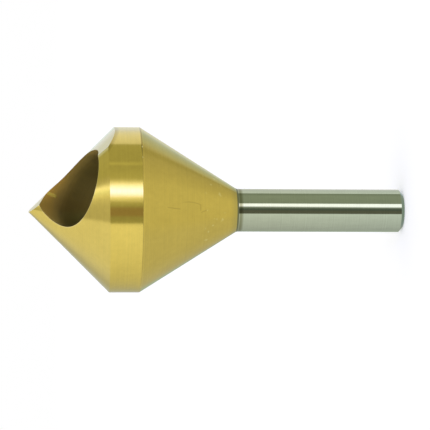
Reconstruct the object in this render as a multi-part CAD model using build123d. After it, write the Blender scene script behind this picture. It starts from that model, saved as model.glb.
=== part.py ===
from build123d import *
from math import cos, radians, sin, tan
import os

os.makedirs("parts", exist_ok=True)

# Cross-hole countersink bit, right-hand cutting, turned and ground from one bar of steel.
# The tool axis is Z with the point up. The origin is the centre of the shank's end face.
# The chip hole opens towards -Y. Azimuths are measured anticlockwise from +X, seen from the point.

# Driving sizes, mm and degrees
head_diameter = 23.0
point_angle = 90.0
land_width = 4.65
rear_cone_half_angle = 32.0
shank_diameter = 6.0
shank_length = 23.4
shank_chamfer = 0.5

chip_hole_diameter = 11.45
chip_hole_tilt = 40.0
chip_hole_offset = 0.5
chip_hole_above_rear_edge = 2.7

relief_lead = 1.1
relief_end_azimuth = -61.0
wheel_infeed = 0.01

# Working allowances of the cutting bodies, outside the finished form
full_turn = 360.0
relief_start_gap = 10.0
relief_core_radius = 0.15
side_margin = 1.5
end_margin = 2.0
wheel_width = 3 * head_diameter
drill_length = 4 * head_diameter

# Dependent sizes
head_radius = head_diameter / 2
shank_radius = shank_diameter / 2
point_half_angle = point_angle / 2
rear_cone_length = (head_radius - shank_radius) / tan(radians(rear_cone_half_angle))
point_height = head_radius / tan(radians(point_half_angle))
land_rear_z = shank_length + rear_cone_length
land_front_z = land_rear_z + land_width
apex_z = land_front_z + point_height
chip_hole_centre_z = land_rear_z + chip_hole_above_rear_edge


def turned_blank():
    """Shank, rear cone, land and full point cone, turned in one setting."""
    section = Polyline(
        (0, 0),
        (shank_radius - shank_chamfer, 0),
        (shank_radius, shank_chamfer),
        (shank_radius, shank_length),
        (head_radius, land_rear_z),
        (head_radius, land_front_z),
        (0, apex_z),
        close=True,
    )
    return revolve(Plane.XZ * make_face(section), Axis.Z)


def flank_helix(radius):
    """The line that one point of the wheel's edge grinds round the flank, a helix of the relief's lead."""
    rise = relief_lead * (full_turn - relief_start_gap) / full_turn
    lowest_z = apex_z - relief_lead - radius / tan(radians(point_half_angle))
    line = Edge.make_helix(relief_lead, rise, radius, center=(0, 0, lowest_z))
    return line.rotate(Axis.Z, relief_end_azimuth)


def relief_cut():
    """Steel ground off the point cone, deeper and deeper behind the cutting edge."""
    inner = flank_helix(relief_core_radius)
    outer = flank_helix(head_radius + side_margin)
    flank = Face.make_surface_from_curves(inner, outer)
    return extrude(flank, amount=point_height + end_margin, dir=(0, 0, 1))


def wheel_flat_cut():
    """Flat that the wheel leaves where it runs out across the hole, which also blunts the point."""
    azimuth = radians(relief_end_azimuth)
    rise = radians(point_half_angle)
    outward = Vector(cos(azimuth) * cos(rise), sin(azimuth) * cos(rise), sin(rise))
    across = Vector(-sin(azimuth), cos(azimuth), 0)
    wheel_plane = Plane((0, 0, apex_z - relief_lead - wheel_infeed), x_dir=across, z_dir=outward)
    above = (Align.CENTER, Align.CENTER, Align.MIN)
    return wheel_plane * Box(wheel_width, wheel_width, point_height, align=above)


def chip_hole_cut():
    """Slanted hole from the point cone to the rear cone. Its edge on the point cone does the cutting."""
    tilt = radians(chip_hole_tilt)
    hole_plane = Plane((-chip_hole_offset, 0, chip_hole_centre_z), z_dir=(0, -sin(tilt), cos(tilt)))
    return hole_plane * Cylinder(chip_hole_diameter / 2, drill_length)


bit = turned_blank() - relief_cut() - wheel_flat_cut() - chip_hole_cut()

export_step(bit, "parts/countersink_bit.step")
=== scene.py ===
"""Cross-hole countersink bit: the visible tool and its studio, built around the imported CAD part."""

from math import cos, pi, radians, sin, sqrt, tan

import bmesh
import bpy
from bpy.props import FloatProperty, FloatVectorProperty, IntProperty, PointerProperty
from bpy.types import Operator, Panel, PropertyGroup
from mathutils import Matrix, Vector


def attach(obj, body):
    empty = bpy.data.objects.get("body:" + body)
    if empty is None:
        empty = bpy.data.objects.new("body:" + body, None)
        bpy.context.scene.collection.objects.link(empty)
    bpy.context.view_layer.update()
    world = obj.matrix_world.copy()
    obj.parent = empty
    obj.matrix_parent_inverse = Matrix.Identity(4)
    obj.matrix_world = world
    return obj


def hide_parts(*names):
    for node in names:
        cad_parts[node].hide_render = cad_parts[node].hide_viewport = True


bl_info = {
    "name": "Countersink Bit",
    "version": (1, 0, 0),
    "blender": (4, 5, 0),
    "location": "3D View > Sidebar > Countersink",
    "description": "Builds a coated cross-hole countersink bit and a plain studio around it",
    "category": "Add Mesh",
}

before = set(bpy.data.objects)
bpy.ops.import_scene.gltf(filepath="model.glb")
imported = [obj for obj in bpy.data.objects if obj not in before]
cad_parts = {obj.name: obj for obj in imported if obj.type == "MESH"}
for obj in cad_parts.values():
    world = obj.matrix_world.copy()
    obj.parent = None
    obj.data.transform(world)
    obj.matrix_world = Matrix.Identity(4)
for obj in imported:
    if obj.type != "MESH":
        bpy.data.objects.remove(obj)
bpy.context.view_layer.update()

MM = 0.001
CAD_NODE = "countersink_bit"

# Direction across the bit that the marks of wear, the coating in the chip hole and the painted light
# and shade on the land's edge and in the hole are laid out by
COATING_SIDE = (0.727, -0.687, 0.0)

# Surfaces of the bit, numbered as the face indices are while the mesh is made
POINT, FLAT, LAND, EDGE, REAR, FOOT, NECK, SHANK, CHAMFER, END, HOLE = range(11)

# Rows of faces down each turned surface, and along the drill that cuts the chip hole
ROWS = {
    FLAT: 4, POINT: 8, LAND: 5, EDGE: 4, REAR: 12, FOOT: 1, NECK: 5, SHANK: 12, CHAMFER: 1, END: 2
}
DRILL_ROWS = 24

# Radius inside which the relief's climb is held, and the smallest radius with a direction
CLIMB_HELD = 0.2 * MM
ON_AXIS = 1e-9
# Distance within which points of the mesh become one
WELD = 1e-7
# The run-out flat's half width on the rim is sought up to this angle, by this many halvings
WIDEST_FLAT = radians(60)
HALVINGS = 60


# Properties -----------------------------------------------------------------------------


def length(name, description, value_mm):
    """A length property whose default is given in millimetres."""
    return FloatProperty(
        name=name,
        description=description,
        default=value_mm * MM,
        unit="LENGTH",
        subtype="DISTANCE",
        precision=5,
    )


def angle(name, description, value_deg):
    """An angle property whose default is given in degrees."""
    return FloatProperty(
        name=name,
        description=description,
        default=radians(value_deg),
        unit="ROTATION",
        subtype="ANGLE",
    )


def colour(name, description, value):
    """A linear colour property."""
    return FloatVectorProperty(
        name=name, description=description, default=value, min=0.0, max=1.0, size=3, subtype="COLOR"
    )


def share(name, description, value):
    """A factor from 0 to 1."""
    return FloatProperty(
        name=name, description=description, default=value, min=0.0, max=1.0, subtype="FACTOR"
    )


class CountersinkSizes(PropertyGroup):
    """Sizes of the bit. The shank's end stands at the origin and the point is up."""

    head_diameter: length("Head diameter", "Largest diameter, across the land", 23.0)
    point_angle: angle("Point angle", "Included angle of the cutting cone", 90.0)
    land_width: length("Land width", "Height of the cylindrical land", 4.65)
    rear_half_angle: angle("Rear cone half angle", "Slope of the cone behind the land", 32.0)
    shank_diameter: length("Shank diameter", "Diameter of the plain shank", 6.0)
    shank_length: length("Shank length", "From the end face to the rear cone", 23.4)
    shank_chamfer: length("Shank chamfer", "Chamfer round the shank's end", 0.5)
    hole_diameter: length("Chip hole diameter", "Diameter of the slanted chip hole", 11.45)
    hole_tilt: angle("Chip hole tilt", "Angle between the hole and the tool axis", 40.0)
    hole_offset: length("Chip hole offset", "Distance from the hole's axis to the tool axis", 0.5)
    hole_above_land: length("Chip hole height", "Crossing above the land's rear edge", 2.7)
    relief_lead: length("Relief lead", "Drop of the point cone over one turn", 1.1)
    relief_end: angle("Relief end", "Azimuth at which the relief grinding runs out", -61.0)
    wheel_infeed: length("Wheel infeed", "Extra depth of the run-out flat", 0.01)
    land_edge: length("Land edge", "Radius of the land's rear edge", 0.18)
    foot: length("Bare foot", "Height of the bare ring ground on the rear cone's foot", 0.15)
    neck: length("Neck", "Radius of the fillet between the rear cone and the shank", 0.4)
    around: IntProperty(name="Divisions", description="Faces round the bit", default=360, min=48)


class CountersinkFinish(PropertyGroup):
    """Colours and finishes of the bit."""

    coating: colour("Coating", "Hard coating on the head", (0.75, 0.58, 0.125))
    coating_rough: share("Coating roughness", "Roughness of the coated surfaces", 0.11)
    steel: colour("Steel", "Ground steel of the shank", (0.44, 0.485, 0.35))
    steel_rough: share("Steel roughness", "Roughness of the ground shank", 0.06)
    flat: colour("Ground flat", "Flat that the relief grinding left", (0.63, 0.615, 0.34))
    # The flat's bright side is a painted highlight; the same colour also serves for bare metal beside
    # the flat
    flat_bright: colour("Bright side of the flat", "Freshly ground side", (0.72, 0.715, 0.52))
    hole_edge: colour("Chip hole edge", "Coating just inside the cutting edge", (0.8, 0.57, 0.13))
    hole_wall: colour("Chip hole wall", "Thin coating deep in the chip hole", (0.43, 0.36, 0.15))


class CountersinkStudio(PropertyGroup):
    """Camera, floor and light of the studio."""

    azimuth: angle("Camera azimuth", "Direction from the bit to the camera", -133.4185)
    elevation: angle("Camera elevation", "Height of the camera above the bit", 5.409)
    roll: angle("Camera roll", "Turn that lays the bit across the view", -89.80)
    distance: length("Camera distance", "From the camera to its target", 254.95)
    lens: FloatProperty(name="Lens", description="Focal length in mm", default=154.26, min=1.0)
    floor_size: length("Floor size", "Width of the floor", 8000.0)
    floor: colour("Floor", "Plain pale floor", (0.85, 0.85, 0.85))


# Mesh of the bit ------------------------------------------------------------------------


class BitForm:
    """The bit's form worked out from its sizes, with the outward direction of each surface."""

    def __init__(self, sizes):
        self.around = sizes.around
        self.head_r = sizes.head_diameter / 2
        self.shank_r = sizes.shank_diameter / 2
        self.chamfer = sizes.shank_chamfer
        self.slope = 1 / tan(sizes.point_angle / 2)
        self.rear_half = sizes.rear_half_angle
        self.shank_top = sizes.shank_length
        self.land_rear = self.shank_top + (self.head_r - self.shank_r) / tan(self.rear_half)
        self.land_front = self.land_rear + sizes.land_width
        self.apex = self.land_front + self.head_r * self.slope
        self.lead = sizes.relief_lead
        self.infeed = sizes.wheel_infeed
        self.relief_end = sizes.relief_end
        self.flat_out = Vector((cos(self.relief_end), sin(self.relief_end), 0))
        self.flat_side = Vector((-sin(self.relief_end), cos(self.relief_end), 0))
        self.flat_apex = self.apex - self.lead - self.infeed
        self.hole_r = sizes.hole_diameter / 2
        self.hole_point = Vector((-sizes.hole_offset, 0, self.land_rear + sizes.hole_above_land))
        self.hole_dir = Vector((0, -sin(sizes.hole_tilt), cos(sizes.hole_tilt)))
        self.foot_z = self.shank_top + sizes.foot
        # the round edge behind the land and the hollow fillet at the neck
        half_turn = tan(self.rear_half / 2)
        self.edge_size = sizes.land_edge
        self.edge_centre = (
            self.head_r - self.edge_size, self.land_rear + self.edge_size * half_turn
        )
        self.neck_size = sizes.neck
        self.neck_centre = (
            self.shank_r + self.neck_size, self.shank_top - self.neck_size * half_turn
        )

    def turn(self, azimuth):
        """Share of a turn from the relief's start, clockwise seen from the point."""
        return ((self.relief_end - azimuth) / (2 * pi)) % 1.0

    def crease_radius(self, azimuth):
        """Radius at which the run-out flat meets the relieved cone, at most the head's."""
        drop = self.lead * (1 - self.turn(azimuth)) + self.infeed
        lean = (1 - cos(azimuth - self.relief_end)) * self.slope
        return drop / lean if drop < lean * self.head_r else self.head_r

    def flat_z(self, radius, azimuth):
        """Height of the run-out flat."""
        return self.flat_apex - radius * self.slope * cos(azimuth - self.relief_end)

    def point_z(self, radius, azimuth):
        """Height of the relieved cone."""
        return self.apex - self.lead * self.turn(azimuth) - radius * self.slope

    def outward(self, surface, p):
        """Unit direction out of the bit at point p of a surface."""
        radius = max(sqrt(p.x * p.x + p.y * p.y), ON_AXIS)
        radial = Vector((p.x / radius, p.y / radius, 0))
        around = Vector((-radial.y, radial.x, 0))
        up = Vector((0, 0, 1))
        if surface == POINT:
            climb = self.lead / (2 * pi * max(radius, CLIMB_HELD))
            out = radial * self.slope - around * climb + up
        elif surface == FLAT:
            out = self.flat_out * self.slope + up
        elif surface in (REAR, FOOT):
            out = radial * cos(self.rear_half) - up * sin(self.rear_half)
        elif surface == EDGE:
            out = radial * (radius - self.edge_centre[0]) + up * (p.z - self.edge_centre[1])
        elif surface == NECK:
            out = radial * (self.neck_centre[0] - radius) + up * (self.neck_centre[1] - p.z)
        elif surface == CHAMFER:
            out = radial - up
        elif surface == END:
            out = -up
        elif surface == HOLE:
            offset = p - self.hole_point
            out = self.hole_dir * offset.dot(self.hole_dir) - offset
        else:
            out = radial
        return out.normalized()


def azimuths(form):
    """Azimuths of the mesh's columns, with one at each end of the run-out flat on the rim."""
    found = [2 * pi * i / form.around - pi for i in range(form.around)]
    for side in (-1, 1):
        near, far = 0.0, WIDEST_FLAT
        for _ in range(HALVINGS):
            middle = (near + far) / 2
            if form.crease_radius(form.relief_end + side * middle) < form.head_r:
                far = middle
            else:
                near = middle
        found.append(form.relief_end + side * near)
    return sorted(found)


def column(form, azimuth):
    """Points down the outside of the bit at one azimuth, as (radius, z, surface above it)."""
    points = []

    def line(surface, start, end):
        rows = ROWS[surface]
        for i in range(1, rows + 1):
            t = i / rows
            r = start[0] + (end[0] - start[0]) * t
            z = start[1] + (end[1] - start[1]) * t
            points.append((r, z, surface))
        return end

    def arc(surface, centre, size, first, last):
        rows = ROWS[surface]
        for i in range(1, rows + 1):
            a = first + (last - first) * i / rows
            points.append((centre[0] + size * cos(a), centre[1] - size * sin(a), surface))
        return points[-1][:2]

    crease_r = form.crease_radius(azimuth)
    at = line(FLAT, (0, form.flat_apex), (crease_r, form.flat_z(crease_r, azimuth)))
    rim_z = form.point_z(form.head_r, azimuth) if crease_r < form.head_r else at[1]
    at = line(POINT, at, (form.head_r, rim_z))
    at = line(LAND, at, (form.head_r, form.edge_centre[1]))
    at = arc(EDGE, form.edge_centre, form.edge_size, 0, form.rear_half)
    foot_r = form.shank_r + (form.foot_z - form.shank_top) * tan(form.rear_half)
    at = line(REAR, at, (foot_r, form.foot_z))
    neck_start = (
        form.neck_centre[0] - form.neck_size * cos(form.rear_half),
        form.neck_centre[1] + form.neck_size * sin(form.rear_half),
    )
    line(FOOT, at, neck_start)
    at = arc(NECK, form.neck_centre, -form.neck_size, form.rear_half, 0)
    at = line(SHANK, at, (form.shank_r, form.chamfer))
    at = line(CHAMFER, at, (form.shank_r - form.chamfer, 0))
    line(END, at, (at[0] / 3, 0))
    return points


def turned_blank(form):
    """The bit without its chip hole, as a mesh whose face indices name the surfaces."""
    bm = bmesh.new()
    tip = bm.verts.new((0, 0, form.flat_apex))
    bottom = bm.verts.new((0, 0, 0))
    columns = []
    for azimuth in azimuths(form):
        c, s = cos(azimuth), sin(azimuth)
        rows = column(form, azimuth)
        columns.append([(bm.verts.new((r * c, r * s, z)), surface) for r, z, surface in rows])
    for i, left in enumerate(columns):
        right = columns[(i + 1) % len(columns)]
        bm.faces.new((tip, left[0][0], right[0][0])).material_index = FLAT
        for (a, _), (b, surface), (c, _), (d, _) in zip(left, left[1:], right[1:], right):
            bm.faces.new((a, b, c, d)).material_index = surface
        bm.faces.new((left[-1][0], bottom, right[-1][0])).material_index = END
    bmesh.ops.remove_doubles(bm, verts=bm.verts, dist=WELD)
    bmesh.ops.recalc_face_normals(bm, faces=bm.faces)
    return bm


def drill(form):
    """A long fine cylinder on the chip hole's axis."""
    bm = bmesh.new()
    side = Vector((1, 0, 0))
    other = form.hole_dir.cross(side)
    rings = []
    for k in range(DRILL_ROWS + 1):
        centre = form.hole_point + form.hole_dir * form.apex * (2 * k / DRILL_ROWS - 1)
        ring = []
        for i in range(form.around):
            a = 2 * pi * i / form.around
            ring.append(bm.verts.new(centre + form.hole_r * (side * cos(a) + other * sin(a))))
        rings.append(ring)
    for low, high in zip(rings, rings[1:]):
        for a, b, c, d in zip(low, low[1:] + low[:1], high[1:] + high[:1], high):
            bm.faces.new((a, b, c, d))
    bm.faces.new(rings[0])
    bm.faces.new(rings[-1])
    bmesh.ops.recalc_face_normals(bm, faces=bm.faces)
    for face in bm.faces:
        face.material_index = HOLE
    return bm


def mesh_object(name, bm, slots):
    """A new object from a bmesh, with empty material slots for the face indices."""
    mesh = bpy.data.meshes.new(name)
    bm.to_mesh(mesh)
    bm.free()
    for _ in range(slots):
        mesh.materials.append(None)
    made = bpy.data.objects.new(name, mesh)
    bpy.context.scene.collection.objects.link(made)
    return made


def bit_mesh(form, finishes):
    """The drilled bit, shaded by its surfaces' true directions. finishes gives their materials."""
    blank = mesh_object("blank", turned_blank(form), HOLE + 1)
    cutter = mesh_object("drill", drill(form), HOLE + 1)
    cut = blank.modifiers.new("chip_hole", "BOOLEAN")
    cut.operation = "DIFFERENCE"
    cut.solver = "EXACT"
    cut.material_mode = "INDEX"
    cut.object = cutter
    bpy.context.view_layer.update()
    graph = bpy.context.evaluated_depsgraph_get()
    mesh = bpy.data.meshes.new_from_object(blank.evaluated_get(graph), depsgraph=graph)
    for scrap in (blank, cutter):
        old = scrap.data
        bpy.data.objects.remove(scrap)
        bpy.data.meshes.remove(old)

    directions = [None] * len(mesh.loops)
    surfaces = [face.material_index for face in mesh.polygons]
    for face, surface in zip(mesh.polygons, surfaces):
        face.use_smooth = True
        for loop in face.loop_indices:
            p = mesh.vertices[mesh.loops[loop].vertex_index].co
            directions[loop] = form.outward(surface, p)
    mesh.materials.clear()
    used = list(dict.fromkeys(finishes.values()))
    for material in used:
        mesh.materials.append(material)
    for face, surface in zip(mesh.polygons, surfaces):
        face.material_index = used.index(finishes[surface])
    mesh.normals_split_custom_set(directions)
    return mesh


# Materials ------------------------------------------------------------------------------

# Linear colours of wear, of small marks and of painted highlights and shade
SPECK = (0.95, 0.82, 0.3)
SPECK_STRENGTH = 0.5
FOOT_SHADE = (0.63, 0.51, 0.13)
WORN_RIM_HIGHLIGHT = (0.95, 0.82, 0.4)
THIN_COATING = (1.0, 0.88, 0.45)
EDGE_GLINT = (0.95, 0.85, 0.45)
HOLE_MOUTH = (0.47, 0.46, 0.21)
MARK_HIGHLIGHT = (1.0, 0.85, 0.2)
STEEL_END = (0.43, 0.488, 0.37)
CHAMFER_DARK_REFLECTION = (0.24, 0.33, 0.27)
NECK_DARKER = (0.24, 0.255, 0.145)
NECK_HIGHLIGHT = (0.36, 0.38, 0.25)
NECK_FOOT = (0.23, 0.24, 0.12)

# Colour that the coating reflects where it is seen edge on
COATING_EDGE_TINT = (0.82, 0.92, 1.0)

# Shares of the coating's colour that marks and painted shade leave
SCRATCHED = 0.84
LAND_END_SHADED = 0.55
SMUDGED = 0.6
EDGE_UNSHADED = 0.95
EDGE_SHADED = 0.6

# Shares of the bare metal's colour in the painted highlight along the flat's crease, and of the chip
# hole's two colours in the painted light and shade across it, from its dim side
CREASE_SHARE = 1.1
DEEP_LIT = 1.75
EDGE_DIM, EDGE_LIT, EDGE_FAR = 0.78, 1.18, 0.75

# Roughness of the surfaces that have no property of their own
EDGE_ROUGH = 0.2
FLAT_ROUGH = 0.35
HOLE_ROUGH = 0.45
HOLE_COATED_ROUGH = 0.8
# How far fine lines lower and raise the roughness of the coating and of the steel
COATING_ROUGH_SWING = (-0.015, 0.025)
STEEL_ROUGH_SWING = (-0.015, 0.02)
# Roughness that the dark ring at the shank's neck adds
NECK_ROUGHER = 0.3

# Range that nearly all of a noise lies in
NOISE_RANGE = (0.3, 0.7)

# The coating's lower end in the chip hole: where across the hole it lies highest, how fast it
# falls to both sides, per metre, and how far blotches move it
COATING_PEAK = -0.8 * MM
COATING_FALL = 65.0
COATING_BLOTCH = 1.0 * MM

# Heights of marks' relief, in metres
COATING_RELIEF = 1.2e-6
STEEL_RELIEF = 6e-8
MARK_RELIEF = 8e-5

# Sockets of the Mix node that take and give colours
MIX_A, MIX_B, MIXED = 6, 7, 2


def rgba(value, times=1.0):
    """A linear colour, made lighter or darker, with its alpha."""
    return tuple(min(1.0, c * times) for c in value[:3]) + (1.0,)


class Nodes:
    """Short calls that build one node tree."""

    def __init__(self, tree):
        self.tree = tree
        tree.nodes.clear()

    def add(self, kind, **settings):
        node = self.tree.nodes.new(kind)
        for name, value in settings.items():
            setattr(node, name, value)
        return node

    def put(self, socket, value):
        """Links value to the socket if it is an output, and sets the socket otherwise."""
        if isinstance(value, bpy.types.NodeSocket):
            self.tree.links.new(value, socket)
        elif value is not None:
            socket.default_value = value

    def math(self, operation, a, b=None):
        node = self.add("ShaderNodeMath", operation=operation)
        self.put(node.inputs[0], a)
        self.put(node.inputs[1], b)
        return node.outputs[0]

    def product(self, first, *others):
        for other in others:
            first = self.math("MULTIPLY", first, other)
        return first

    def vector(self, operation, a, b=None, out=0):
        node = self.add("ShaderNodeVectorMath", operation=operation)
        self.put(node.inputs[0], a)
        self.put(node.inputs[1], b)
        return node.outputs[out]

    def scaled(self, vector, factor):
        node = self.add("ShaderNodeVectorMath", operation="SCALE")
        self.put(node.inputs[0], vector)
        self.put(node.inputs["Scale"], factor)
        return node.outputs[0]

    def spread(self, value, low, high, to_low=0.0, to_high=1.0, kind="SMOOTHSTEP"):
        """value mapped from low..high to to_low..to_high, and held at the ends."""
        node = self.add("ShaderNodeMapRange", interpolation_type=kind)
        names = ("Value", "From Min", "From Max", "To Min", "To Max")
        for name, v in zip(names, (value, low, high, to_low, to_high)):
            self.put(node.inputs[name], v)
        return node.outputs["Result"]

    def fade(self, length, low_mm, high_mm, to_low=0.0, to_high=1.0, past=0.0):
        """A length spread over low_mm..high_mm, counted in millimetres past another length."""
        return self.spread(length, past + low_mm * MM, past + high_mm * MM, to_low, to_high)

    def band(self, length, centre, full_mm, none_mm, most=1.0):
        """most where a length is within full_mm of the centre, and 0 from none_mm outwards."""
        off = self.math("ABSOLUTE", self.math("SUBTRACT", length, centre))
        return self.fade(off, full_mm, none_mm, most, 0.0)

    def mix(self, factor, a, b):
        node = self.add("ShaderNodeMix", data_type="RGBA")
        self.put(node.inputs["Factor"], factor)
        self.put(node.inputs[MIX_A], a)
        self.put(node.inputs[MIX_B], b)
        return node.outputs[MIXED]

    def noise(self, scale, detail=2.0, vector=None, w=None):
        """Noise from 0 to 1, through space by vector or along the one coordinate w."""
        node = self.add("ShaderNodeTexNoise", noise_dimensions="3D" if w is None else "1D")
        if w is None:
            self.put(node.inputs["Vector"], vector)
        else:
            self.put(node.inputs["W"], w)
        self.put(node.inputs["Scale"], scale)
        self.put(node.inputs["Detail"], detail)
        return node.outputs["Fac"]

    def ramp(self, value, stops):
        """Colours read at value from stops, given as (place from 0 to 1, colour)."""
        node = self.add("ShaderNodeValToRGB")
        elements = node.color_ramp.elements
        while len(elements) > 1:
            elements.remove(elements[-1])
        for i, (place, level) in enumerate(stops):
            element = elements.new(place) if i else elements[0]
            element.position = place
            element.color = (*level, 1)
        self.put(node.inputs["Fac"], value)
        return node.outputs["Color"]


class Metal:
    """A metal material with the coordinates that its marks are laid out by."""

    def __init__(self, name, rough, edge_tint=(1.0, 1.0, 1.0)):
        self.material = bpy.data.materials.new(name)
        self.material.use_nodes = True
        n = self.n = Nodes(self.material.node_tree)
        out = n.add("ShaderNodeOutputMaterial")
        shader = self.shader = n.add("ShaderNodeBsdfPrincipled")
        n.put(out.inputs["Surface"], shader.outputs["BSDF"])
        self.give("Metallic", 1.0)
        self.give("Roughness", rough)
        self.give("Specular Tint", rgba(edge_tint))
        coordinates = n.add("ShaderNodeTexCoord")
        self.place = coordinates.outputs["Object"]
        tilt = n.add("ShaderNodeSeparateXYZ")
        n.put(tilt.inputs[0], coordinates.outputs["Normal"])
        self.lean = tilt.outputs["Z"]
        axes = n.add("ShaderNodeSeparateXYZ")
        n.put(axes.inputs[0], self.place)
        self.x, self.y, self.z = axes.outputs
        flat = n.add("ShaderNodeCombineXYZ")
        n.put(flat.inputs[0], self.x)
        n.put(flat.inputs[1], self.y)
        self.radius = n.vector("LENGTH", flat.outputs[0], out="Value")

    def give(self, name, value):
        """Sets one of the shader's inputs or links it."""
        self.n.put(self.shader.inputs[name], value)

    def along(self, direction):
        """Distance from the origin along a direction."""
        return self.n.vector("DOT_PRODUCT", self.place, tuple(direction), out="Value")

    def varied(self, base, *marks):
        """base made lighter and darker by marks, given as (pattern from 0 to 1, strength)."""
        n = self.n
        total = 1.0
        for pattern, strength in marks:
            swing = n.product(n.math("SUBTRACT", pattern, 0.5), strength)
            total = n.math("ADD", total, swing)
        return n.scaled(base if isinstance(base, bpy.types.NodeSocket) else base[:3], total)

    def bump(self, pattern, height):
        """Relief of a height, in metres, where the pattern is 1."""
        node = self.n.add("ShaderNodeBump")
        self.n.put(node.inputs["Height"], pattern)
        node.inputs["Strength"].default_value = 1.0
        node.inputs["Distance"].default_value = height
        self.give("Normal", node.outputs["Normal"])

    def from_hole(self, form):
        """Distance outside the chip hole's wall."""
        n = self.n
        offset = n.vector("SUBTRACT", self.place, tuple(form.hole_point))
        across = n.vector("CROSS_PRODUCT", offset, tuple(form.hole_dir))
        return n.math("SUBTRACT", n.vector("LENGTH", across, out="Value"), form.hole_r)


def scratches(metal):
    """A straight hairline scratch and a hooked arch on the rear cone, as a pattern from 0 to 1."""
    n = metal.n
    side = metal.along(COATING_SIDE)
    front = metal.along((COATING_SIDE[1], -COATING_SIDE[0], 0.0))
    line_mm = (0.03, 0.11)

    def stroke(z_mm, side_mm, slope=0.0, bend=0.0, half_mm=1.0):
        """A thin line through a point, along z, with its slope and bend towards the side."""
        run_z = n.math("SUBTRACT", metal.z, z_mm * MM)
        run = n.math("ADD", n.product(run_z, slope), side_mm * MM)
        run = n.math("SUBTRACT", run, n.product(run_z, run_z, bend / MM))
        return n.product(n.band(side, run, *line_mm), n.band(run_z, 0.0, half_mm - 0.2, half_mm))

    straight = stroke(z_mm=32.73, side_mm=0.2, slope=0.116)
    arch = stroke(z_mm=30.74, side_mm=1.065, bend=0.113, half_mm=1.9)
    arch = n.product(arch, n.fade(metal.z, 32.1, 30.6, 0.0, 0.9), n.fade(metal.z, 28.9, 28.96))
    # the arch ends in a cross line, from which a short stroke hangs
    cross = n.product(n.band(metal.z, 28.94 * MM, *line_mm), n.band(side, 0.33 * MM, 0.35, 0.5))
    hook = stroke(z_mm=28.49, side_mm=-0.19, slope=-0.43, half_mm=0.5)
    found = n.math("MAXIMUM", n.math("MAXIMUM", straight, arch), n.math("MAXIMUM", hook, cross))
    return n.product(found, n.fade(front, 0.0, 1.0))


def rear_cone_marks(metal, base, finish, form):
    """base with the rear cone's shaded foot, scratches and specks, and painted shade on the land's
    end.
    """
    n = metal.n
    base = n.mix(n.fade(metal.z, 1.2, 0.1, past=form.foot_z), base, rgba(FOOT_SHADE))
    base = n.mix(scratches(metal), base, rgba(finish.coating, SCRATCHED))
    specks = n.spread(n.noise(1700, detail=0.0, vector=metal.place), 0.73, 0.79)
    handled = n.product(n.fade(metal.z, 24.8, 25.8), n.fade(metal.z, 28.8, 27.8))
    base = n.mix(n.product(specks, handled, SPECK_STRENGTH), base, rgba(SPECK))
    # painted shade: a dark line on the land just above its rear edge, on one side of the bit
    starts = n.fade(metal.z, -0.02, 0.0, past=form.land_rear)
    ends = n.fade(metal.z, 0.2, 0.1, past=form.land_rear)
    one_side = n.fade(metal.along(COATING_SIDE), 7.4, 8.4, 0.0, 0.75)
    return n.mix(n.product(starts, ends, one_side), base, rgba(finish.coating, LAND_END_SHADED))


def beside_flat(metal, base, finish, form):
    """base with the coating worn thin, smudged and ground bare next to the run-out flat."""
    n = metal.n
    outward = metal.along(form.flat_out)
    plane = n.math("SUBTRACT", form.flat_apex, n.product(outward, form.slope))
    gap = n.math("SUBTRACT", plane, metal.z)
    on_cone = n.spread(metal.lean, 0.3, 0.5)
    off_tip = n.fade(metal.z, 47.5, 46.5)
    # bare metal: a wide strip by the flat's lighter side and a hairline along its crease
    wide = n.product(n.fade(metal.along(form.flat_side), 0.0, 0.5), n.fade(gap, 0.6, 1.6, 1.0, 0.0))
    hairline = n.product(n.fade(gap, 0.0, 0.07, 0.55, 0.0), off_tip)
    facing = n.product(n.spread(n.math("DIVIDE", outward, metal.radius), 0.7, 0.82), on_cone)
    bare = n.product(n.math("MAXIMUM", wide, hairline), facing)
    thin = n.product(n.fade(gap, 0.14, 0.36, 0.85, 0.0), on_cone, off_tip)
    base = n.mix(thin, base, rgba(THIN_COATING))
    on_land = n.fade(metal.z, 0.0, -0.05, past=form.land_front)
    smudge = n.product(n.fade(gap, 0.2, 0.7, 0.6, 0.0), on_land)
    base = n.mix(smudge, base, rgba(finish.coating, SMUDGED))
    return n.mix(bare, base, rgba(finish.flat_bright))


def coating_material(finish, form):
    """Hard coating with turning lines, broad shades, wear, painted shade and a painted highlight on
    the worn hole rim.
    """
    metal = Metal("head_coating", finish.coating_rough, edge_tint=COATING_EDGE_TINT)
    n = metal.n
    lines = n.noise(4300, w=metal.z)
    rings = n.noise(750, w=metal.z)
    patches = n.noise(190, detail=3.0, vector=metal.place)
    grain = n.noise(1500, vector=metal.place)
    # the turning lines are strongest just behind the land and weak on it and on the point
    below = n.fade(metal.z, -1.6, -0.9, 0.12, 0.28, past=form.land_rear)
    on_land = n.fade(metal.z, 0.0, 0.01, below, 0.09, past=form.land_rear)
    strength = n.fade(metal.z, -0.3, 0.0, on_land, 0.08, past=form.land_front)
    base = metal.varied(
        rgba(finish.coating), (lines, strength), (rings, 0.03), (patches, 0.18), (grain, 0.12)
    )
    base = rear_cone_marks(metal, base, finish, form)
    # painted highlight: a lighter line just outside the chip hole's rim, where the rim is also worn
    base = n.mix(n.fade(metal.from_hole(form), 0.02, 0.12, 0.4, 0.0), base, rgba(WORN_RIM_HIGHLIGHT))
    metal.give("Base Color", beside_flat(metal, base, finish, form))
    smooth, coarse = (finish.coating_rough + swing for swing in COATING_ROUGH_SWING)
    metal.give("Roughness", n.spread(lines, *NOISE_RANGE, smooth, coarse))
    marks = n.math("ADD", n.product(lines, 0.1), n.product(rings, 0.2))
    metal.bump(n.math("ADD", marks, grain), COATING_RELIEF)
    return metal.material


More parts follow.
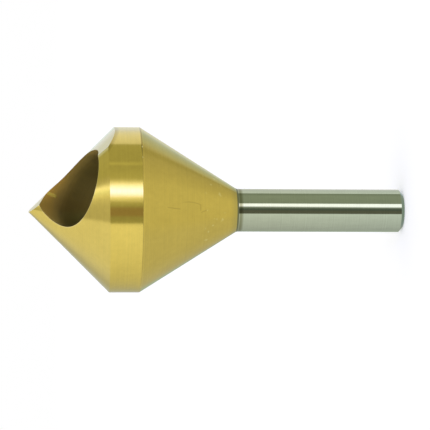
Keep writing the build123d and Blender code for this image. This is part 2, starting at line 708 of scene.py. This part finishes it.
def edge_material(finish):
    """Coating along the edge behind the land, with painted shade on one side and painted glints."""
    metal = Metal("land_edge", EDGE_ROUGH)
    n = metal.n
    patches = n.noise(900, vector=metal.place)
    # painted shade: the edge is darker on one side of the bit
    shaded_side = n.fade(metal.along(COATING_SIDE), 6.2, 8.2)
    base = n.mix(shaded_side, rgba(finish.coating, EDGE_UNSHADED), rgba(finish.coating, EDGE_SHADED))
    # painted glints: bright patches along the edge
    base = n.mix(n.spread(patches, 0.62, 0.7), base, rgba(EDGE_GLINT))
    metal.give("Base Color", metal.varied(base, (patches, 0.4)))
    return metal.material


def flat_material(finish, form):
    """Bare ground flat, lighter towards one side and along its crease, both as painted highlights."""
    metal = Metal("ground_flat", FLAT_ROUGH)
    n = metal.n
    # painted highlight: the flat is made lighter towards one side
    lit_side = n.fade(metal.along(form.flat_side), -2.4, 0.2)
    base = n.mix(lit_side, rgba(finish.flat), rgba(finish.flat_bright))
    azimuth = n.math("ARCTAN2", metal.y, metal.x)
    turn = n.math("DIVIDE", n.math("SUBTRACT", form.relief_end, azimuth), 2 * pi)
    drop = n.product(n.math("FRACT", turn), form.lead)
    cone_top = n.math("SUBTRACT", form.apex, drop)
    cone_z = n.math("SUBTRACT", cone_top, n.product(metal.radius, form.slope))
    # painted highlight: a lighter line along the flat's crease
    crease = n.fade(n.math("SUBTRACT", cone_z, metal.z), 0.02, 0.1, 0.8, 0.0)
    base = n.mix(crease, base, rgba(finish.flat_bright, CREASE_SHARE))
    lines = n.noise(5200, vector=metal.place)
    metal.give("Base Color", metal.varied(base, (lines, 0.1)))
    return metal.material


def mark_with_highlight(metal, side):
    """Slanted mark in the chip hole, a small relief with a painted highlight, as a pattern from 0 to
    1.
    """
    n = metal.n
    rise, run = 0.937, 0.35
    up = n.math("SUBTRACT", metal.z, 49.08 * MM)
    over = n.math("SUBTRACT", side, 2.05 * MM)
    across = n.math("SUBTRACT", n.product(up, run), n.product(over, rise))
    reach = n.math("ADD", n.product(up, rise), n.product(over, run))
    return n.product(n.band(across, 0.0, 0.14, 0.34), n.band(reach, 0.0, 0.45, 0.8, 0.95))


def hole_material(finish, form):
    """Drilled wall whose coating is thick and rough near the cutting edge and thin further in, with
    painted light and shade across it.
    """
    metal = Metal("chip_hole_wall", HOLE_ROUGH)
    n = metal.n
    patches = n.noise(300, detail=3.0, vector=metal.place)
    lines = n.noise(2500, w=metal.along(form.hole_dir))
    side = metal.along(COATING_SIDE)
    # the coating's lower end arches across the hole and is blotched
    off_peak = n.math("SUBTRACT", side, COATING_PEAK)
    sag = n.product(off_peak, off_peak, COATING_FALL)
    blotch = n.product(n.math("SUBTRACT", patches, 0.5), COATING_BLOTCH)
    depth = n.math("ADD", n.math("ADD", metal.z, sag), blotch)
    coated = n.fade(depth, 46.0, 50.4)
    wall, edge = finish.hole_wall, finish.hole_edge
    # painted light and shade: the deep wall is lighter towards one side of the hole
    deep = n.mix(n.fade(side, 4.6, 8.5), rgba(wall), rgba(wall, DEEP_LIT))
    mouth = n.product(n.fade(side, 0.5, -1.2), n.fade(metal.z, 38, 41))
    deep = n.mix(mouth, deep, rgba(HOLE_MOUTH))
    # painted light and shade: the coated wall is dim on one side, lit in the middle and darker again
    # further across
    near = n.mix(n.fade(side, 0.4, 3.0), rgba(edge, EDGE_DIM), rgba(edge, EDGE_LIT))
    near = n.mix(n.fade(side, 3.6, 7.5), near, rgba(edge, EDGE_FAR))
    base = metal.varied(n.mix(coated, deep, near), (patches, 0.2), (lines, 0.1))
    mark = mark_with_highlight(metal, side)
    # painted highlight on the small mark in the chip hole
    metal.give("Base Color", n.mix(mark, base, rgba(MARK_HIGHLIGHT)))
    metal.give("Roughness", n.spread(coated, 0.0, 1.0, HOLE_ROUGH, HOLE_COATED_ROUGH))
    metal.bump(mark, MARK_RELIEF)
    return metal.material


def steel_material(finish, form):
    """Ground steel, cooler towards its end, with a painted dark reflection on its chamfer, a darker
    neck and a painted highlight there.
    """
    metal = Metal("shank_steel", finish.steel_rough)
    n = metal.n
    lines = n.noise(5200, w=metal.z)
    strokes = n.noise(2600, vector=n.vector("MULTIPLY", metal.place, (1.0, 1.0, 0.12)))
    clouds = n.noise(900, vector=metal.place)
    far = n.spread(metal.z, 20 * MM, 2 * MM, kind="LINEAR")
    base = n.mix(far, rgba(finish.steel), rgba(STEEL_END))
    base = metal.varied(base, (lines, 0.12), (strokes, 0.12), (clouds, 0.1))
    top = form.shank_top
    # the shank is darker just below the neck
    base = n.mix(n.fade(metal.z, -0.85, -0.38, past=top), base, rgba(NECK_DARKER))
    # painted highlight: a lighter ring where the neck's fillet meets the shank
    base = n.mix(n.band(metal.z, top - 0.13 * MM, 0.03, 0.1), base, rgba(NECK_HIGHLIGHT))
    # painted dark reflection on the chamfer and the end
    base = n.mix(n.fade(metal.z, 0.02, -0.04, past=form.chamfer), base, rgba(CHAMFER_DARK_REFLECTION))
    foot = n.fade(metal.z, -0.12, -0.04, past=top)
    metal.give("Base Color", n.mix(foot, base, rgba(NECK_FOOT)))
    smooth, coarse = (finish.steel_rough + swing for swing in STEEL_ROUGH_SWING)
    ground = n.spread(lines, *NOISE_RANGE, smooth, coarse)
    metal.give("Roughness", n.math("ADD", ground, n.product(foot, NECK_ROUGHER)))
    metal.bump(lines, STEEL_RELIEF)
    return metal.material


class COUNTERSINK_OT_bit(Operator):
    """Build the coated bit from its sizes, in place of the CAD solid"""

    bl_idname = "countersink.bit"
    bl_label = "Build Bit"
    bl_options = {"REGISTER", "UNDO"}

    def execute(self, context):
        form = BitForm(context.scene.countersink_sizes)
        finish = context.scene.countersink_finish
        coating = coating_material(finish, form)
        steel = steel_material(finish, form)
        finishes = dict.fromkeys((POINT, LAND, REAR), coating)
        finishes[EDGE] = edge_material(finish)
        finishes.update(dict.fromkeys((FOOT, NECK, SHANK, CHAMFER, END), steel))
        finishes[FLAT] = flat_material(finish, form)
        finishes[HOLE] = hole_material(finish, form)
        bit = bpy.data.objects.new("coated_bit", bit_mesh(form, finishes))
        context.scene.collection.objects.link(bit)
        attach(bit, "root")
        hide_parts(CAD_NODE)
        return {"FINISHED"}


# Studio ---------------------------------------------------------------------------------

# Point that the camera looks at, in millimetres, and the camera's sensor and reach
CAMERA_TARGET_MM = (-2.2113, -1.3461, 26.6233)
SENSOR_MM = 36.0
NEAREST_SEEN, FURTHEST_SEEN = 0.01, 20.0

# Strength at which the floor glows for the camera alone, so that it looks white
FLOOR_GLOW = 0.4

# Tints of the tent's light
WHITE = (1.0, 1.0, 1.0)
PEARL = (0.99, 1.0, 1.12)
IVORY = (1.04, 1.0, 0.93)
WARM = (1.0, 0.985, 0.86)
AMBER = (1.0, 0.985, 0.74)
PALE = (1.0, 1.02, 1.35)
HAZE = (1.0, 0.96, 0.86)
LAMP = (1.0, 0.94, 1.06)
CORE = (0.9, 1.0, 3.2)
GLOW = (0.94, 1.0, 1.85)
MIST = (0.95, 1.02, 1.16)
GREY = (0.93, 1.04, 1.25)
GREEN = (0.98, 1.0, 0.74)
OLIVE = (0.95, 1.0, 0.78)
BROWN = (1.2, 0.97, 0.75)
DUSK = (1.0, 0.95, 0.72)
SHADE = (0.9, 1.0, 0.85)

# Light of the tent, as (angle in degrees, brightness, tint). In the first three tables, from level
# to low, the angle is the azimuth from the camera. Overhead and underneath, it is the angle from
# the vertical towards the top of the view.
TENT_HEAD = (
    (-180, 0.68, HAZE), (-150, 0.61, HAZE), (-122, 0.69, WHITE), (-70, 0.87, WHITE),
    (-23, 0.98, WHITE), (-19.5, 0.9, WHITE), (-18.5, 0.42, GREEN), (-10, 0.39, GREEN),
    (-8, 0.3, BROWN), (2, 0.3, BROWN), (4.5, 0.44, GREEN), (9.5, 0.56, GREEN), (12, 0.82, WHITE),
    (16, 1.15, WHITE), (18.4, 1.55, GLOW), (22.4, 1.75, CORE), (25, 2.0, CORE), (27.5, 1.9, CORE),
    (33.2, 1.6, GLOW), (36.4, 1.2, PALE), (39.5, 0.8, WHITE), (43.5, 0.56, GREEN),
    (63, 0.465, GREEN), (65.2, 0.62, GREEN), (66.8, 0.62, GREEN), (70, 0.455, GREEN),
    (102, 0.48, GREEN), (104, 0.85, PALE), (125, 1.0, PALE), (150, 1.01, PALE), (160, 1.0, IVORY),
    (180, 1.0, IVORY),
)
TENT_SHANK = (
    (-180, 0.6, SHADE), (-150, 0.6, SHADE), (-122, 0.69, WHITE), (-102, 0.78, WHITE),
    (-70, 0.88, WHITE), (-40, 0.98, WHITE), (-23, 1.07, WHITE), (-18.8, 1.0, WHITE),
    (-17.4, 0.185, DUSK), (-2, 0.175, DUSK), (2, 0.145, SHADE), (6, 0.16, SHADE),
    (10, 0.22, SHADE), (15, 0.38, OLIVE), (18, 0.65, WHITE), (20.5, 1.2, LAMP),
    (22.5, 2.15, LAMP), (35.5, 2.15, LAMP), (37.5, 0.44, OLIVE), (60, 0.47, OLIVE),
    (80, 0.49, OLIVE), (88, 0.45, OLIVE), (95, 0.4, OLIVE), (103, 0.39, OLIVE),
    (104.2, 1.05, WHITE), (123, 0.97, WHITE), (135, 0.88, WHITE), (152, 0.88, WHITE),
    (165, 0.9, IVORY), (180, 0.88, IVORY),
)
TENT_SIDE = (
    (-180, 0.62, HAZE), (-150, 0.61, HAZE), (-130, 0.62, WHITE), (0, 0.6, WHITE),
    (100, 0.55, WHITE), (126, 0.56, WHITE), (130, 0.61, MIST), (142, 0.63, GREY),
    (149, 0.68, GREY), (156, 0.8, GREY), (165, 0.85, WHITE), (180, 0.85, WHITE),
)
TENT_TOP = (
    (-90, 0.72, WHITE), (-45, 0.83, PEARL), (-20, 0.91, PEARL), (-11, 0.92, PEARL),
    (-9, 0.58, WHITE), (2, 0.64, WHITE), (6, 0.74, WHITE), (7.6, 0.79, WHITE), (9.2, 0.98, WHITE),
    (12, 1.08, MIST), (13.6, 1.32, MIST), (14.6, 1.48, PALE), (15.4, 1.42, PALE),
    (17.8, 0.7, WHITE), (19.4, 0.57, WHITE), (23, 0.51, GREEN), (41.5, 0.52, GREEN),
    (44.5, 0.8, WHITE), (90, 1.0, WHITE),
)
TENT_BASE = (
    (-90, 0.62, WHITE), (-45, 0.62, WHITE), (-30, 0.64, WHITE), (-15, 0.67, WARM),
    (15, 0.69, WARM), (28, 0.67, WARM), (35, 0.6, WARM), (40, 0.57, WARM), (44.8, 0.53, WARM),
    (46.6, 0.45, AMBER), (60, 0.45, AMBER), (90, 0.5, WHITE),
)
# Brightness that stands for 1 while a colour ramp holds a table
TENT_BRIGHTEST = 7.0
# Elevations in degrees over which each table takes over from the ones before it
SHANK_BAND = (-3.8, -5.6)
SIDE_BAND = (-13, -20)
BASE_BAND = (-34.6, -38.4)
TOP_BAND = (18, 42)
# Azimuths over which the strip lamp's lower side starts and ends, and its widening by elevation
LAMP_SIDE_STARTS = (8, 16)
LAMP_SIDE_ENDS = (34, 26)
LAMP_WIDENING = (-6.7, -10.7, 0.0, 2.4)


def tent_light(n, angle_deg, stops, widest):
    """Light read from a table of angles from -widest to widest."""
    place = n.spread(angle_deg, -widest, widest, kind="LINEAR")
    table = []
    for a, level, tint in stops:
        table.append(((a + widest) / (2 * widest), [level * t / TENT_BRIGHTEST for t in tint]))
    return n.scaled(n.ramp(place, table), TENT_BRIGHTEST)


def light_tent(world, studio):
    """White tent with a dark gap at the camera and a strip lamp, painted by direction."""
    world.use_nodes = True
    n = Nodes(world.node_tree)
    out = n.add("ShaderNodeOutputWorld")
    turn = n.add("ShaderNodeVectorRotate", rotation_type="Z_AXIS")
    n.put(turn.inputs["Vector"], n.add("ShaderNodeTexCoord").outputs["Generated"])
    turn.inputs["Angle"].default_value = -studio.azimuth
    axes = n.add("ShaderNodeSeparateXYZ")
    n.put(axes.inputs[0], turn.outputs[0])
    x, y, z = axes.outputs
    degree = 180 / pi
    around = n.product(n.math("ARCTAN2", y, x), degree)
    above = n.product(n.math("ARCTAN2", y, z), degree)
    below = n.product(n.math("ARCTAN2", y, n.product(z, -1.0)), degree)
    elevation = n.product(n.math("ARCSINE", z), degree)
    # the strip lamp is a little wider where the shank's end reflects it
    lower_side = n.product(n.spread(around, *LAMP_SIDE_STARTS), n.spread(around, *LAMP_SIDE_ENDS))
    widening = n.spread(elevation, *LAMP_WIDENING, kind="LINEAR")
    around_shank = n.math("ADD", around, n.product(lower_side, widening))
    light = tent_light(n, around, TENT_HEAD, 180)
    for band, angle_deg, stops, widest in (
        (SHANK_BAND, around_shank, TENT_SHANK, 180),
        (SIDE_BAND, around, TENT_SIDE, 180),
        (BASE_BAND, below, TENT_BASE, 90),
        (TOP_BAND, above, TENT_TOP, 90),
    ):
        light = n.mix(n.spread(elevation, *band), light, tent_light(n, angle_deg, stops, widest))
    tent = n.add("ShaderNodeBackground")
    n.put(tent.inputs["Color"], light)
    white = n.add("ShaderNodeBackground")
    white.inputs["Color"].default_value = (1, 1, 1, 1)
    choose = n.add("ShaderNodeMixShader")
    n.put(choose.inputs["Fac"], n.add("ShaderNodeLightPath").outputs["Is Camera Ray"])
    n.put(choose.inputs[1], tent.outputs[0])
    n.put(choose.inputs[2], white.outputs[0])
    n.put(out.inputs["Surface"], choose.outputs[0])


def floor_material(studio):
    """Pale matt floor that looks white to the camera and keeps its shadow."""
    material = bpy.data.materials.new("floor_white")
    material.use_nodes = True
    n = Nodes(material.node_tree)
    out = n.add("ShaderNodeOutputMaterial")
    matt = n.add("ShaderNodeBsdfDiffuse")
    matt.inputs["Color"].default_value = rgba(studio.floor)
    glow = n.add("ShaderNodeEmission")
    seen = n.add("ShaderNodeLightPath").outputs["Is Camera Ray"]
    n.put(glow.inputs["Strength"], n.product(seen, FLOOR_GLOW))
    both = n.add("ShaderNodeAddShader")
    n.put(both.inputs[0], matt.outputs[0])
    n.put(both.inputs[1], glow.outputs[0])
    n.put(out.inputs["Surface"], both.outputs[0])
    return material


class COUNTERSINK_OT_studio(Operator):
    """Build the camera, the pale floor and the light tent"""

    bl_idname = "countersink.studio"
    bl_label = "Build Studio"
    bl_options = {"REGISTER", "UNDO"}

    def execute(self, context):
        studio = context.scene.countersink_studio
        scene = context.scene

        half = studio.floor_size / 2
        mesh = bpy.data.meshes.new("studio_floor")
        corners = [(-half, -half, 0), (half, -half, 0), (half, half, 0), (-half, half, 0)]
        mesh.from_pydata(corners, [], [(0, 1, 2, 3)])
        mesh.materials.append(floor_material(studio))
        floor = bpy.data.objects.new("studio_floor", mesh)
        scene.collection.objects.link(floor)
        floor.visible_glossy = False

        scene.world = bpy.data.worlds.new("light_tent")
        light_tent(scene.world, studio)

        lens = bpy.data.cameras.new("camera")
        lens.lens = studio.lens
        lens.sensor_width = SENSOR_MM
        lens.clip_start = NEAREST_SEEN
        lens.clip_end = FURTHEST_SEEN
        camera = bpy.data.objects.new("camera", lens)
        scene.collection.objects.link(camera)
        level = cos(studio.elevation)
        across = Vector((cos(studio.azimuth), sin(studio.azimuth), 0)) * level
        back = across + Vector((0, 0, sin(studio.elevation)))
        target = Vector(CAMERA_TARGET_MM) * MM
        upright = back.to_track_quat("Z", "Y").to_matrix()
        camera.rotation_euler = (upright @ Matrix.Rotation(studio.roll, 3, "Z")).to_euler()
        camera.location = target + back * studio.distance
        scene.camera = camera
        scene.view_settings.view_transform = "Standard"
        return {"FINISHED"}


class COUNTERSINK_PT_panel(Panel):
    """Sizes, finishes and building steps of the countersink bit"""

    bl_label = "Countersink Bit"
    bl_idname = "COUNTERSINK_PT_panel"
    bl_space_type = "VIEW_3D"
    bl_region_type = "UI"
    bl_category = "Countersink"

    def draw(self, context):
        scene = context.scene
        for groups, operator in (
            ((scene.countersink_sizes, scene.countersink_finish), "countersink.bit"),
            ((scene.countersink_studio,), "countersink.studio"),
        ):
            box = self.layout.box()
            for group in groups:
                for name in group.__annotations__:
                    box.prop(group, name)
            box.operator(operator)


CLASSES = (
    CountersinkSizes,
    CountersinkFinish,
    CountersinkStudio,
    COUNTERSINK_OT_bit,
    COUNTERSINK_OT_studio,
    COUNTERSINK_PT_panel,
)


def register():
    for cls in CLASSES:
        bpy.utils.register_class(cls)
    bpy.types.Scene.countersink_sizes = PointerProperty(type=CountersinkSizes)
    bpy.types.Scene.countersink_finish = PointerProperty(type=CountersinkFinish)
    bpy.types.Scene.countersink_studio = PointerProperty(type=CountersinkStudio)


def unregister():
    del bpy.types.Scene.countersink_sizes
    del bpy.types.Scene.countersink_finish
    del bpy.types.Scene.countersink_studio
    for cls in reversed(CLASSES):
        bpy.utils.unregister_class(cls)


def main():
    register()
    bpy.ops.countersink.bit()
    bpy.ops.countersink.studio()


if __name__ == "__main__":
    main()
